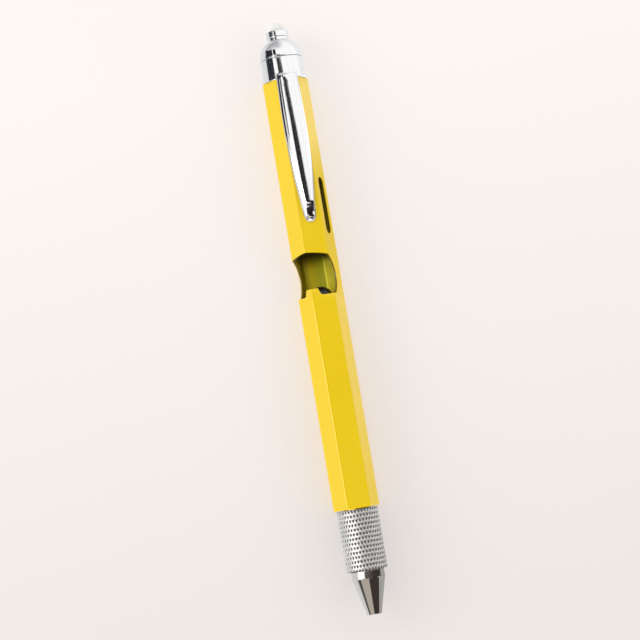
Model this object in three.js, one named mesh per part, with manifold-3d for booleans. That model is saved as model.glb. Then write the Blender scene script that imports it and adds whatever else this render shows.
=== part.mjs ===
// Hexagonal multi tool pen: twist ballpoint, press torch, bottle opener and pocket clip.
// Units are millimetres. A station is the distance along the pen from the torch lens to the writing tip.
// The pen lies along X with its clip face up, and the writing tip towards +X.

import * as THREE from 'three';
import { mergeVertices } from 'three/addons/utils/BufferGeometryUtils.js';
import Module from 'manifold-3d';

const wasm = await Module();
wasm.setup();

// Driving dimensions of the whole pen
const penLength = 148.9;
const collarRadius = 5.37;
const axisHeight = collarRadius;
const fitGap = 0.1;
const workingGap = 0.3;
const weldDistance = 1e-5;
const fineSides = 40;
const plainSides = 24;

// Hexagonal barrel, its hexagonal bore, the long slot and the opener window
const barrel = { start: 15.15, end: 122.65, flats: 10.0, cornerRadius: 0.4, chamfer: 0.2 };
const bore = { flats: 9.0, cornerRadius: 0.3 };
const hexFit = { flats: bore.flats - 2 * fitGap, cornerRadius: bore.cornerRadius };
const slot = { start: 40.4, end: 54.7, width: 2.8, faceAngle: Math.PI / 6, innerDepth: 2.5, cutDepth: 4 };
const opener = {
  cornerAngle: Math.PI * 2 / 3,
  arcStation: 65.25,
  arcDepth: 6.35,
  arcRadius: 6.45,
  notchEnd: 69.65,
  notchFillet: 0.45,
  toothInnerDepth: 4.55,
  toothTipDepth: 4.85,
  toothTip: 67.95,
  toothChamfer: 0.1,
};

// Torch at the top end
const lens = { apex: 0, radius: 2.15, domeLength: 2.0, end: 4.1, wall: 0.45 };
const button = {
  start: 2.3,
  seatDepth: 0.2,
  ringEnd: 3.95,
  ringRadius: 2.77,
  ringRound: 0.3,
  stemRadius: 2.6,
  flangeRadius: 3.1,
  end: 9.6,
};
const led = {
  apex: 1.6,
  radius: 1.4,
  flangeRadius: 1.75,
  flangeStart: 5.8,
  end: 6.8,
  legRadius: 0.25,
  legOffset: 0.6,
  longLegEnd: 10.4,
  shortLegEnd: 9.3,
};
const cap = { start: 4.75, domeStation: 9.1, domeRadius: 5.25, edge: 9.45, skirtRadius: 4.15, end: 13.9 };
const capBore = { frontRadius: 2.7, shoulder: 8.4, chamberRadius: 3.3 };
const contact = { start: 11.2, headEnd: 11.7, headRadius: 1.4, shankRadius: 0.75, end: 18.5, round: 0.1 };
const carrierPlug = { start: 11.9, end: 18.0, radius: 3.2 };

// Collar under the torch, with the pocket that holds the clip's foot
const collar = {
  start: 9.55,
  edge: 15.1,
  edgeRound: 0.15,
  threadRadius: 4.25,
  threadEnd: 14.1,
  spigotStart: 14.6,
  spigotEnd: 18.1,
  spigotBore: 3.45,
};
const clipPocket = { start: 13.85, halfWidth: 2.75, floor: 4.35 };

// Pocket clip: a crowned strip over the clip face, with heights above the pen's axis
// Each row of the plan is a station, a half width and the crown's height
const clip = {
  footStart: 13.95,
  footEnd: 14.65,
  footBase: 4.65,
  footHalfWidth: 2.6,
  edgeHeight: 5.15,
  thickness: 0.5,
  hollowEnd: 47.6,
  arcSteps: 12,
  plan: [
    [13.95, 2.58, 5.9], [14.05, 2.6, 6.25], [14.25, 2.62, 6.49], [14.55, 2.63, 6.67], [15.0, 2.64, 6.76],
    [16.8, 2.68, 6.74], [21.2, 2.78, 6.69], [25.1, 2.84, 6.65], [29.1, 2.84, 6.6], [33.0, 2.76, 6.56],
    [36.0, 2.64, 6.53], [38.9, 2.46, 6.49], [40.9, 2.33, 6.47], [42.9, 2.13, 6.45], [44.8, 1.95, 6.42],
    [46.8, 1.74, 6.4], [48.8, 1.55, 6.36], [49.8, 1.42, 6.31], [50.5, 1.25, 6.22], [51.0, 1.02, 6.08],
    [51.3, 0.74, 5.88], [51.5, 0.34, 5.5],
  ],
};

// Battery: three button cells in an insulating sleeve
const cell = {
  radius: 3.4,
  thickness: 2.6,
  capRadius: 2.7,
  capHeight: 0.3,
  round: 0.15,
  first: 18.9,
  pitch: 2.7,
  count: 3,
};
const cellSleeve = { start: 18.4, end: 32.6, boreRadius: 3.5 };
const cellSpring = { start: 27.3, end: 32.5, radius: 2.7, wire: 0.2, turns: 5 };
const switchSpring = { start: 10.2, end: 11.8, radius: 2.35, wire: 0.1, turns: 2 };
const cellStop = { start: 32.9, end: 37.5 };

// Twist mechanism and refill
const sleeve = {
  apex: 67.2,
  domeLength: 2.9,
  headRadius: 3.0,
  headEnd: 70.6,
  bodyRadius: 4.4,
  floor: 73.0,
  boreRadius: 2.7,
  end: 86.0,
};
const travel = 3.6;
const twistAngle = Math.PI;
const peg = { station: 77.5, radius: 0.5, root: 0.5, tip: 3.3, angle: Math.PI / 2 };
const groove = { halfWidth: 0.8, floorRadius: 3.62 };
const carrier = { start: 75.0, end: 86.5, radius: 1.9, socket: 80.3 };
const cam = { start: 74.3, end: 124.0, outer: 2.5, inner: 2.05, cutSteps: 18 };
const refill = {
  start: 80.5,
  radius: 1.175,
  tubeEnd: 138.95,
  pointStart: 139.0,
  shoulder: 141.2,
  neckStart: 142.0,
  neckEnd: 144.6,
  neckRadius: 0.85,
  noseStart: 145.73,
  noseRadius: 0.5,
  seat: 147.03,
  seatRadius: 0.38,
};
const ball = { start: 147.05, station: 147.15, radius: 0.35 };

// Turning grip and screw-in nose cone
const bush = { start: 113.0, end: 122.4, boreRadius: 3.5 };
const core = {
  start: 111.2,
  neckRadius: 3.35,
  shoulder: 122.85,
  radius: 4.3,
  end: 137.5,
  threadStart: 128.0,
};
const snapGroove = { start: 111.9, end: 112.7, radius: 2.95, ringRadius: 3.85, ringGap: 0.6 };
const dragGroove = { start: 117.0, end: 118.2, radius: 2.95, ringSection: 0.2 };
const grip = { start: 122.85, end: 137.9, radius: 5.15, chamfer: 0.2, boreRadius: 4.4 };
const nose = {
  shankStart: 129.5,
  shankRadius: 3.3,
  collarStart: 138.0,
  collarRadius: 4.2,
  collarRound: 0.15,
  coneStart: 139.9,
  tipRadius: 1.85,
  tipRound: 0.1,
};
const noseBore = { radius: 1.42, narrowStart: 140.0, wideRadius: 2.2, wideEnd: 138.5 };

// Materials as the photograph shows them
const finish = {
  yellowPaint: new THREE.MeshStandardMaterial({ color: 0xf0cc14, roughness: 0.35, metalness: 0.0 }),
  chrome: new THREE.MeshStandardMaterial({ color: 0xd9dadc, roughness: 0.08, metalness: 1.0 }),
  knurledSilver: new THREE.MeshStandardMaterial({ color: 0xc9cacc, roughness: 0.3, metalness: 1.0 }),
  satinSteel: new THREE.MeshStandardMaterial({ color: 0xb3b0aa, roughness: 0.35, metalness: 1.0 }),
  brass: new THREE.MeshStandardMaterial({ color: 0xc9a44c, roughness: 0.35, metalness: 1.0 }),
  springSteel: new THREE.MeshStandardMaterial({ color: 0x9c9ea0, roughness: 0.35, metalness: 1.0 }),
  clearPlastic: new THREE.MeshStandardMaterial({ color: 0xf4f6f6, roughness: 0.05, metalness: 0.0 }),
  blackPlastic: new THREE.MeshStandardMaterial({ color: 0x17181a, roughness: 0.45, metalness: 0.0 }),
  whitePlastic: new THREE.MeshStandardMaterial({ color: 0xe6e4de, roughness: 0.5, metalness: 0.0 }),
  rubber: new THREE.MeshStandardMaterial({ color: 0x1b1b1b, roughness: 0.8, metalness: 0.0 }),
};

// Shape space to pen space: a shape's x and y go to two chosen directions, and its depth to the third
function placed(geometry, xDirection, yDirection, origin = new THREE.Vector3()) {
  const depthDirection = new THREE.Vector3().crossVectors(xDirection, yDirection);
  const matrix = new THREE.Matrix4().makeBasis(xDirection, yDirection, depthDirection);
  matrix.setPosition(origin);
  return geometry.applyMatrix4(matrix);
}

const alongPen = new THREE.Vector3(1, 0, 0);
const across = new THREE.Vector3(0, 1, 0);
const up = new THREE.Vector3(0, 0, 1);

function radial(angle) {
  return new THREE.Vector3(0, Math.cos(angle), Math.sin(angle));
}

// A closed geometry becomes a solid that can be joined and cut
function toSolid(geometry) {
  geometry.deleteAttribute('normal');
  geometry.deleteAttribute('uv');
  const merged = mergeVertices(geometry, weldDistance);
  const index = merged.index.array;
  const triangles = [];
  for (let i = 0; i < index.length; i += 3) {
    const [a, b, c] = [index[i], index[i + 1], index[i + 2]];
    if (a !== b && b !== c && c !== a) triangles.push(a, b, c);
  }
  const mesh = new wasm.Mesh({
    numProp: 3,
    vertProperties: new Float32Array(merged.attributes.position.array),
    triVerts: new Uint32Array(triangles),
  });
  return new wasm.Manifold(mesh);
}

function toGeometry(solid) {
  const mesh = solid.getMesh();
  const geometry = new THREE.BufferGeometry();
  geometry.setAttribute('position', new THREE.BufferAttribute(new Float32Array(mesh.vertProperties), 3));
  geometry.setIndex(new THREE.BufferAttribute(new Uint32Array(mesh.triVerts), 1));
  geometry.computeVertexNormals();
  return geometry;
}

// A turned solid from [station, radius] points: along the outside towards the tip, then back inside
function turned(profile, sides = plainSides) {
  const points = profile.map(([station, radius]) => new THREE.Vector2(radius, station));
  const closes = profile[0][1] > 0 || profile[profile.length - 1][1] > 0;
  if (closes) points.push(points[0].clone());
  return toSolid(new THREE.LatheGeometry(points, sides).rotateZ(-Math.PI / 2));
}

function ringSolid(start, end, outer, inner, sides = plainSides) {
  return turned([[start, inner], [start, outer], [end, outer], [end, inner]], sides);
}

function rodSolid(start, end, radius, sides = plainSides) {
  return turned([[start, 0], [start, radius], [end, radius], [end, 0]], sides);
}

// Points of an arc in a turned profile, from one angle to another about a centre on the page
function arcPoints(station, radius, stationRadius, radialRadius, from, to, steps) {
  return Array.from({ length: steps + 1 }, (_, i) => {
    const angle = from + (to - from) * i / steps;
    return [station - stationRadius * Math.cos(angle), radius + radialRadius * Math.sin(angle)];
  });
}

// Hexagon with flats up and down and rounded corners
function hexagon(flats, cornerRadius) {
  const shape = new THREE.Shape();
  const centre = (flats / 2 - cornerRadius) / Math.cos(Math.PI / 6);
  for (let side = 0; side < 6; side += 1) {
    const angle = side * Math.PI / 3;
    const [x, y] = [centre * Math.cos(angle), centre * Math.sin(angle)];
    shape.absarc(x, y, cornerRadius, angle - Math.PI / 6, angle + Math.PI / 6, false);
  }
  return shape;
}

function hexSolid(start, end, flats, cornerRadius, chamfer = 0) {
  const geometry = new THREE.ExtrudeGeometry(hexagon(flats, cornerRadius), {
    depth: end - start - 2 * chamfer,
    curveSegments: 3,
    bevelEnabled: chamfer > 0,
    bevelThickness: chamfer,
    bevelSize: chamfer,
    bevelOffset: -chamfer,
    bevelSegments: 1,
  });
  return toSolid(placed(geometry, across, up, new THREE.Vector3(start + chamfer, 0, 0)));
}

function fittedHex(start, end) {
  return hexSolid(start, end, hexFit.flats, hexFit.cornerRadius);
}

function boxSolid(low, high) {
  const size = low.map((value, axis) => high[axis] - value);
  const centre = low.map((value, axis) => (high[axis] + value) / 2);
  return toSolid(new THREE.BoxGeometry(...size).translate(...centre));
}

// A bar along the pen through rings of points, with a flat cap on its first and last ring
function loft(rings) {
  const count = rings[0].length;
  const positions = rings.flat(2);
  const triangles = [];
  for (let ring = 0; ring + 1 < rings.length; ring += 1) {
    for (let i = 0; i < count; i += 1) {
      const next = (i + 1) % count;
      const [a, b] = [ring * count + i, ring * count + next];
      triangles.push(a, b, a + count, b, b + count, a + count);
    }
  }
  const last = (rings.length - 1) * count;
  for (let i = 1; i + 1 < count; i += 1) {
    triangles.push(0, i + 1, i, last, last + i, last + i + 1);
  }
  const geometry = new THREE.BufferGeometry();
  geometry.setAttribute('position', new THREE.Float32BufferAttribute(positions, 3));
  geometry.setAttribute('normal', new THREE.Float32BufferAttribute(positions.length, 3));
  geometry.setAttribute('uv', new THREE.Float32BufferAttribute(positions.length, 2));
  geometry.setIndex(triangles);
  return toSolid(geometry);
}

// A round peg that stands out of the axis at a station and an angle
function radialPeg(station, angle, radius, from, to, sides = 12) {
  const geometry = new THREE.CylinderGeometry(radius, radius, to - from, sides);
  geometry.translate(0, (from + to) / 2, 0);
  return toSolid(placed(geometry, alongPen, radial(angle), new THREE.Vector3(station, 0, 0)));
}

// Coil springs: one unbroken tube on a helix
class Helix extends THREE.Curve {
  constructor(spring) {
    super();
    this.spring = spring;
  }

  getPoint(t, target = new THREE.Vector3()) {
    const { start, end, radius, wire, turns } = this.spring;
    const angle = 2 * Math.PI * turns * t;
    const station = start + wire + (end - start - 2 * wire) * t;
    return target.set(station, radius * Math.cos(angle), radius * Math.sin(angle));
  }
}

function coilSpring(name, spring) {
  const steps = 10 * spring.turns;
  const curve = new Helix(spring);
  const section = new THREE.Shape().absarc(0, 0, spring.wire, 0, 2 * Math.PI, false);
  const tube = { steps, curveSegments: 6, bevelEnabled: false, extrudePath: curve };
  const geometry = new THREE.ExtrudeGeometry(section, tube);
  const points = curve.getSpacedPoints(steps);
  const gaps = points.flatMap((a, i) => points.slice(i + 7).map((b) => a.distanceTo(b) - 2 * spring.wire));
  console.log(`${name}: least gap to itself ${Math.min(...gaps).toFixed(2)} mm`);
  return toSolid(geometry);
}

const pen = new THREE.Group();
pen.position.set(-penLength / 2, 0, axisHeight);

function addPiece(name, solid, material) {
  const mesh = new THREE.Mesh(toGeometry(solid), material);
  mesh.name = name;
  pen.add(mesh);
}

// Torch lens: a clear dome with a hollow back that the lamp sits in
function torchLens() {
  const inner = lens.radius - lens.wall;
  const hollow = lens.apex + lens.domeLength - inner + lens.wall / 2;
  return turned([
    ...arcPoints(lens.domeLength, 0, lens.domeLength, lens.radius, 0, Math.PI / 2, 8),
    [lens.end, lens.radius],
    [lens.end, inner],
    ...arcPoints(hollow + inner - lens.wall / 2, 0, inner - lens.wall / 2, inner, Math.PI / 2, 0, 6),
  ], fineSides);
}

function ledBulb() {
  const dome = led.apex + led.radius;
  return turned([
    ...arcPoints(dome, 0, led.radius, led.radius, 0, Math.PI / 2, 5),
    [led.flangeStart, led.radius],
    [led.flangeStart, led.flangeRadius],
    [led.end, led.flangeRadius],
    [led.end, 0],
  ]);
}

function ledLeg(side, end) {
  const leg = rodSolid(led.end + fitGap / 5, end, led.legRadius, 8);
  return leg.translate([0, side * led.legOffset, 0]);
}

// The bush that holds the lamp in the button, with a hole for each leg
function ledBush() {
  const body = rodSolid(led.end + fitGap, button.end - 2 * fitGap, led.flangeRadius + fitGap / 2);
  const holes = [-1, 1].map((side) => {
    const hole = rodSolid(led.end, button.end, led.legRadius + fitGap, 8);
    return hole.translate([0, side * led.legOffset, 0]);
  });
  return body.subtract(holes[0]).subtract(holes[1]);
}

// The chrome ring round the lens is the push button: its stem and flange hold it in the cap
function torchButton() {
  const seat = lens.radius + fitGap / 2;
  const stemBore = led.flangeRadius + fitGap;
  return turned([
    [button.start + button.seatDepth, seat],
    [button.start, seat + fitGap],
    [button.start, button.ringRadius - button.ringRound],
    [button.start + button.ringRound, button.ringRadius],
    [button.ringEnd, button.ringRadius],
    [button.ringEnd, button.stemRadius],
    [capBore.shoulder + workingGap, button.stemRadius],
    [capBore.shoulder + workingGap, button.flangeRadius],
    [button.end, button.flangeRadius],
    [button.end, stemBore],
    [lens.end + fitGap / 2, stemBore],
    [lens.end + fitGap / 2, seat],
  ], fineSides);
}

// Domed cap with a front bore for the button and a threaded skirt that screws into the collar
function torchCap() {
  const from = Math.acos((cap.domeStation - cap.start) / cap.domeRadius);
  const to = Math.acos((cap.domeStation - cap.edge) / cap.domeRadius);
  return turned([
    [cap.start, capBore.frontRadius],
    ...arcPoints(cap.domeStation, 0, cap.domeRadius, cap.domeRadius, from, to, 10),
    [cap.edge, cap.skirtRadius],
    [cap.end, cap.skirtRadius],
    [cap.end, capBore.chamberRadius],
    [capBore.shoulder, capBore.chamberRadius],
    [capBore.shoulder, capBore.frontRadius],
  ], fineSides);
}

function contactPin() {
  return turned([
    [contact.start, 0],
    [contact.start, contact.headRadius],
    [contact.headEnd, contact.headRadius],
    [contact.headEnd, contact.shankRadius],
    [carrierPlug.end + fitGap, contact.shankRadius],
    [carrierPlug.end + fitGap, contact.headRadius],
    [contact.end - contact.round, contact.headRadius],
    [contact.end, contact.headRadius / 2],
    [contact.end, 0],
  ]);
}

// The collar's edge ring, its thread bore and the hexagonal spigot pressed into the barrel
function clipCollar() {
  const band = turned([
    [collar.start, collar.threadRadius],
    [collar.start, cap.domeRadius - fitGap / 2],
    [collar.start + fitGap, cap.domeRadius],
    [collar.edge - collar.edgeRound, collarRadius],
    [collar.edge, collarRadius - collar.edgeRound],
    [collar.edge, collar.spigotBore],
    [collar.threadEnd, collar.spigotBore],
    [collar.threadEnd, collar.threadRadius],
  ], fineSides);
  const spigot = fittedHex(collar.spigotStart, collar.spigotEnd);
  const spigotBore = rodSolid(collar.threadEnd - fitGap, collar.spigotEnd + fitGap, collar.spigotBore);
  const pocket = boxSolid(
    [clipPocket.start, -clipPocket.halfWidth, clipPocket.floor],
    [barrel.start + fitGap, clipPocket.halfWidth, clip.edgeHeight + 1],
  );
  return band.add(spigot).subtract(spigotBore).subtract(pocket);
}

// One section of the clip: an arc over the crown that ends at the strip's two edges
function clipArc([station, halfWidth, crown], thickness) {
  const rise = crown - clip.edgeHeight;
  const radius = (halfWidth ** 2 + rise ** 2) / (2 * rise);
  const spread = Math.atan2(halfWidth, radius - rise);
  const [centre, arcRadius] = [crown - radius, radius - thickness];
  return Array.from({ length: clip.arcSteps + 1 }, (_, i) => {
    const angle = spread * (1 - 2 * i / clip.arcSteps);
    return [station, arcRadius * Math.sin(angle), centre + arcRadius * Math.cos(angle)];
  });
}

// Clip: a crowned bar, hollow underneath between its foot and its toe, with a foot in the collar's pocket
function pocketClip() {
  const bar = loft(clip.plan.map((row) => clipArc(row, 0)));
  const middle = clip.plan.filter(([station]) => station > clip.footEnd && station < clip.hollowEnd);
  const [first, last] = [middle[0], middle[middle.length - 1]];
  const rows = [[clip.footEnd, first[1], first[2]], ...middle, [clip.hollowEnd, last[1], last[2]]];
  const hollow = loft(rows.map((row) => {
    const arc = clipArc(row, clip.thickness);
    const [right, left] = [arc[0], arc[arc.length - 1]];
    return [[right[0], right[1], clip.footBase], ...arc, [left[0], left[1], clip.footBase]];
  }));
  const foot = boxSolid(
    [clip.footStart, -clip.footHalfWidth, clip.footBase],
    [clip.footEnd, clip.footHalfWidth, clip.edgeHeight + fitGap],
  );
  return bar.add(foot).subtract(hollow);
}

// Barrel: a hexagonal tube with the long slot in one face and the opener window across one corner
function slotCutter() {
  const radius = slot.width / 2;
  const shape = new THREE.Shape();
  shape.absarc(slot.start + radius, 0, radius, Math.PI / 2, Math.PI * 3 / 2, false);
  shape.absarc(slot.end - radius, 0, radius, -Math.PI / 2, Math.PI / 2, false);
  const cut = { depth: slot.cutDepth, curveSegments: 8, bevelEnabled: false };
  const geometry = new THREE.ExtrudeGeometry(shape, cut);
  const normal = radial(slot.faceAngle);
  const sideways = new THREE.Vector3().crossVectors(normal, alongPen);
  return toSolid(placed(geometry, alongPen, sideways, normal.clone().multiplyScalar(slot.innerDepth)));
}

function openerCutter() {
  const outside = barrel.flats;
  const notchRun = opener.notchEnd - opener.arcStation;
  const arcEnd = Math.PI * 3 / 2 + Math.asin(notchRun / opener.arcRadius);
  const shape = new THREE.Shape();
  shape.moveTo(opener.arcStation - opener.arcRadius, outside);
  shape.absarc(opener.arcStation, opener.arcDepth, opener.arcRadius, Math.PI, arcEnd, false);
  shape.lineTo(opener.notchEnd, opener.toothInnerDepth - opener.notchFillet);
  shape.quadraticCurveTo(
    opener.notchEnd, opener.toothInnerDepth, opener.notchEnd - opener.notchFillet, opener.toothInnerDepth,
  );
  shape.lineTo(opener.toothTip + opener.toothChamfer, opener.toothTipDepth);
  shape.lineTo(opener.toothTip, opener.toothTipDepth + opener.toothChamfer);
  shape.lineTo(opener.toothTip, outside);
  shape.closePath();
  const width = 2 * barrel.flats;
  const cut = { depth: width, curveSegments: 16, bevelEnabled: false };
  const geometry = new THREE.ExtrudeGeometry(shape, cut);
  const outward = radial(opener.cornerAngle);
  const sideways = new THREE.Vector3().crossVectors(alongPen, outward);
  return toSolid(placed(geometry, alongPen, outward, sideways.multiplyScalar(-width / 2)));
}

function barrelTube() {
  const outside = hexSolid(barrel.start, barrel.end, barrel.flats, barrel.cornerRadius, barrel.chamfer);
  const hollow = hexSolid(barrel.start - 1, barrel.end + 1, bore.flats, bore.cornerRadius);
  return outside.subtract(hollow).subtract(slotCutter()).subtract(openerCutter());
}

function cellSleeveTube() {
  const outside = fittedHex(cellSleeve.start, cellSleeve.end);
  return outside.subtract(rodSolid(cellSleeve.start - 1, cellSleeve.end + 1, cellSleeve.boreRadius));
}

// Button cell: a can with a narrower cap on the side towards the torch
function buttonCell(start) {
  const canStart = start + cell.capHeight;
  return turned([
    [start, 0],
    [start, cell.capRadius],
    [canStart, cell.capRadius],
    [canStart, cell.radius - cell.round],
    [canStart + cell.round, cell.radius],
    [start + cell.thickness, cell.radius],
    [start + cell.thickness, 0],
  ]);
}

// Mechanism sleeve: its domed end shows in the opener window, and a groove inside guides the peg
function mechanismSleeve() {
  const { apex, domeLength, headRadius } = sleeve;
  const body = turned([
    ...arcPoints(apex + domeLength, 0, domeLength, headRadius, 0, Math.PI / 2, 8),
    [sleeve.headEnd, headRadius],
    [sleeve.headEnd, sleeve.bodyRadius],
    [sleeve.end, sleeve.bodyRadius],
    [sleeve.end, sleeve.boreRadius],
    [sleeve.floor, sleeve.boreRadius],
    [sleeve.floor, 0],
  ], fineSides);
  const guide = boxSolid(
    [peg.station - groove.halfWidth, -groove.halfWidth, 0],
    [sleeve.end + 1, groove.halfWidth, groove.floorRadius],
  );
  return body.subtract(guide);
}

function refillCarrier() {
  const body = turned([
    [carrier.start, 0],
    [carrier.start, carrier.radius],
    [carrier.end, carrier.radius],
    [carrier.end, refill.radius + fitGap],
    [carrier.socket, refill.radius + fitGap],
    [carrier.socket, 0],
  ]);
  return body.add(radialPeg(peg.station, peg.angle, peg.radius, peg.root, peg.tip));
}

// Cam tube: as it turns, its helical slot drives the peg along the sleeve's straight groove
function twistCam() {
  let tube = ringSolid(cam.start, cam.end, cam.outer, cam.inner);
  for (let step = 0; step <= cam.cutSteps; step += 1) {
    const share = step / cam.cutSteps;
    const [station, angle] = [peg.station + travel * share, peg.angle - twistAngle * share];
    tube = tube.subtract(radialPeg(station, angle, peg.radius + workingGap, 1, peg.tip));
  }
  return tube;
}

function refillPoint() {
  return turned([
    [refill.pointStart, 0],
    [refill.pointStart, refill.radius],
    [refill.shoulder, refill.radius],
    [refill.neckStart, refill.neckRadius],
    [refill.neckEnd, refill.neckRadius],
    [refill.noseStart, refill.noseRadius],
    [refill.seat, refill.seatRadius],
    [refill.seat, 0],
  ]);
}

function writingBall() {
  const from = Math.acos((ball.station - ball.start) / ball.radius);
  const round = arcPoints(ball.station, 0, ball.radius, ball.radius, from, Math.PI, 6);
  return turned([[ball.start, 0], ...round], 12);
}

function gripBush() {
  const outside = fittedHex(bush.start, bush.end);
  return outside.subtract(rodSolid(bush.start - 1, bush.end + 1, bush.boreRadius));
}

// Grip core: neck through the bush, grooves for the two rings, and a thread bore for the nose cone
function gripCore() {
  return turned([
    [core.start, cam.outer + fitGap],
    [core.start, core.neckRadius],
    [snapGroove.start, core.neckRadius],
    [snapGroove.start, snapGroove.radius],
    [snapGroove.end, snapGroove.radius],
    [snapGroove.end, core.neckRadius],
    [dragGroove.start, core.neckRadius],
    [dragGroove.start, dragGroove.radius],
    [dragGroove.end, dragGroove.radius],
    [dragGroove.end, core.neckRadius],
    [core.shoulder, core.neckRadius],
    [core.shoulder, core.radius],
    [core.end, core.radius],
    [core.end, nose.shankRadius + fitGap],
    [core.threadStart, nose.shankRadius + fitGap],
    [core.threadStart, cam.outer + fitGap],
  ]);
}

function retainingRing() {
  const [start, end] = [snapGroove.start + fitGap, snapGroove.end - fitGap];
  const ring = ringSolid(start, end, snapGroove.ringRadius, snapGroove.radius + fitGap);
  const { ringGap } = snapGroove;
  return ring.subtract(boxSolid([start - 1, -ringGap, 0], [end + 1, ringGap, barrel.flats]));
}

function frictionRing() {
  const section = dragGroove.ringSection;
  const centre = dragGroove.radius + fitGap / 2 + section;
  const middle = (dragGroove.start + dragGroove.end) / 2;
  return turned(arcPoints(middle, centre, section, section, 0, 2 * Math.PI, 8).slice(0, -1));
}

function knurledGrip() {
  const edge = grip.radius - grip.chamfer;
  return turned([
    [grip.start, grip.boreRadius],
    [grip.start, edge],
    [grip.start + grip.chamfer, grip.radius],
    [grip.end - grip.chamfer, grip.radius],
    [grip.end, edge],
    [grip.end, grip.boreRadius],
  ], fineSides);
}

function noseCone() {
  return turned([
    [nose.shankStart, noseBore.wideRadius],
    [nose.shankStart, nose.shankRadius],
    [nose.collarStart, nose.shankRadius],
    [nose.collarStart, nose.collarRadius - nose.collarRound],
    [nose.collarStart + nose.collarRound, nose.collarRadius],
    [nose.coneStart, nose.collarRadius],
    [penLength - nose.tipRound, nose.tipRadius],
    [penLength, nose.tipRadius - nose.tipRound],
    [penLength, noseBore.radius],
    [noseBore.narrowStart, noseBore.radius],
    [noseBore.wideEnd, noseBore.wideRadius],
  ], fineSides);
}

addPiece('torch_lens', torchLens(), finish.clearPlastic);
addPiece('led_bulb', ledBulb(), finish.clearPlastic);
addPiece('led_positive_leg', ledLeg(1, led.longLegEnd), finish.springSteel);
addPiece('led_negative_leg', ledLeg(-1, led.shortLegEnd), finish.springSteel);
addPiece('led_bush', ledBush(), finish.whitePlastic);
addPiece('torch_button', torchButton(), finish.chrome);
addPiece('torch_cap', torchCap(), finish.chrome);
addPiece('switch_spring', coilSpring('switch_spring', switchSpring), finish.springSteel);
addPiece(
  'contact_carrier',
  ringSolid(carrierPlug.start, carrierPlug.end, carrierPlug.radius, contact.shankRadius + fitGap),
  finish.whitePlastic,
);
addPiece('contact_pin', contactPin(), finish.brass);
addPiece('clip_collar', clipCollar(), finish.chrome);
addPiece('pocket_clip', pocketClip(), finish.chrome);
addPiece('battery_sleeve', cellSleeveTube(), finish.whitePlastic);
for (let number = 1; number <= cell.count; number += 1) {
  const start = cell.first + cell.pitch * (number - 1);
  addPiece(`battery_cell_${number}`, buttonCell(start), finish.springSteel);
}
addPiece('battery_spring', coilSpring('battery_spring', cellSpring), finish.springSteel);
addPiece('battery_stop', fittedHex(cellStop.start, cellStop.end), finish.brass);
addPiece('barrel', barrelTube(), finish.yellowPaint);
addPiece('mechanism_sleeve', mechanismSleeve(), finish.blackPlastic);
addPiece('refill_carrier', refillCarrier(), finish.whitePlastic);
addPiece('twist_cam', twistCam(), finish.brass);
addPiece('refill_tube', rodSolid(refill.start, refill.tubeEnd, refill.radius), finish.satinSteel);
addPiece('refill_point', refillPoint(), finish.brass);
addPiece('writing_ball', writingBall(), finish.springSteel);
addPiece('grip_bush', gripBush(), finish.blackPlastic);
addPiece('retaining_ring', retainingRing(), finish.springSteel);
addPiece('friction_ring', frictionRing(), finish.rubber);
addPiece('grip_core', gripCore(), finish.brass);
addPiece('knurled_grip', knurledGrip(), finish.knurledSilver);
addPiece('nose_cone', noseCone(), finish.satinSteel);

export default pen;
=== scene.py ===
import math

import bmesh
import bpy
import numpy as np
from mathutils import Matrix, Vector


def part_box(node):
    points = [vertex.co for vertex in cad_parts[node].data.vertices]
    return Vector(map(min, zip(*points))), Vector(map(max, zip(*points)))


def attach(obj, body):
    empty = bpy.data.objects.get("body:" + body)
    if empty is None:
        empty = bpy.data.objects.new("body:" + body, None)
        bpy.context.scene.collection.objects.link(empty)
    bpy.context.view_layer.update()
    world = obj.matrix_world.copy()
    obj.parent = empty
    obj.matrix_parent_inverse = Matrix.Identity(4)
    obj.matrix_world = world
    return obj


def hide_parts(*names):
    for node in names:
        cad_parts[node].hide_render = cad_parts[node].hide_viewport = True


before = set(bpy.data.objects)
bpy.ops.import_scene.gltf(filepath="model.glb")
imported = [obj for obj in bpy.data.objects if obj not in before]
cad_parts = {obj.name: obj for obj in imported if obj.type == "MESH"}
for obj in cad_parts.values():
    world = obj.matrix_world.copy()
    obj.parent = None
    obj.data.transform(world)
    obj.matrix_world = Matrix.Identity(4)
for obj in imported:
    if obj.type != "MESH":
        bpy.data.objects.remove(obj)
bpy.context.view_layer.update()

# Places along the pen are stations in millimetres, counted from the torch lens to the writing tip
millimetre = 0.001
cutterReach = 1     # how far a cutter goes past the end of what it cuts
alongPen, acrossPen = (1, 0, 0), (0, 1, 0)
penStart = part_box("torch_lens")[0][0]
noseLow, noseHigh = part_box("nose_cone")
axisHeight = (noseLow[2] + noseHigh[2]) / 2
print("frame loaded, pen length in mm", round((noseHigh[0] - penStart) / millimetre, 2))


def stationsOf(node):
    # first and last station of a CAD node
    low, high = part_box(node)
    return (low[0] - penStart) / millimetre, (high[0] - penStart) / millimetre


def linearColour(hexCode, strength=1.0):
    # sRGB hex to linear: (c + 0.055) / 1.055 to the power 2.4, or c / 12.92 near black
    channels = np.array([int(hexCode[i:i + 2], 16) for i in (1, 3, 5)]) / 255
    linear = np.where(channels <= 0.04045, channels / 12.92, ((channels + 0.055) / 1.055) ** 2.4)
    return (*(linear * strength).tolist(), 1.0)


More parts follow.
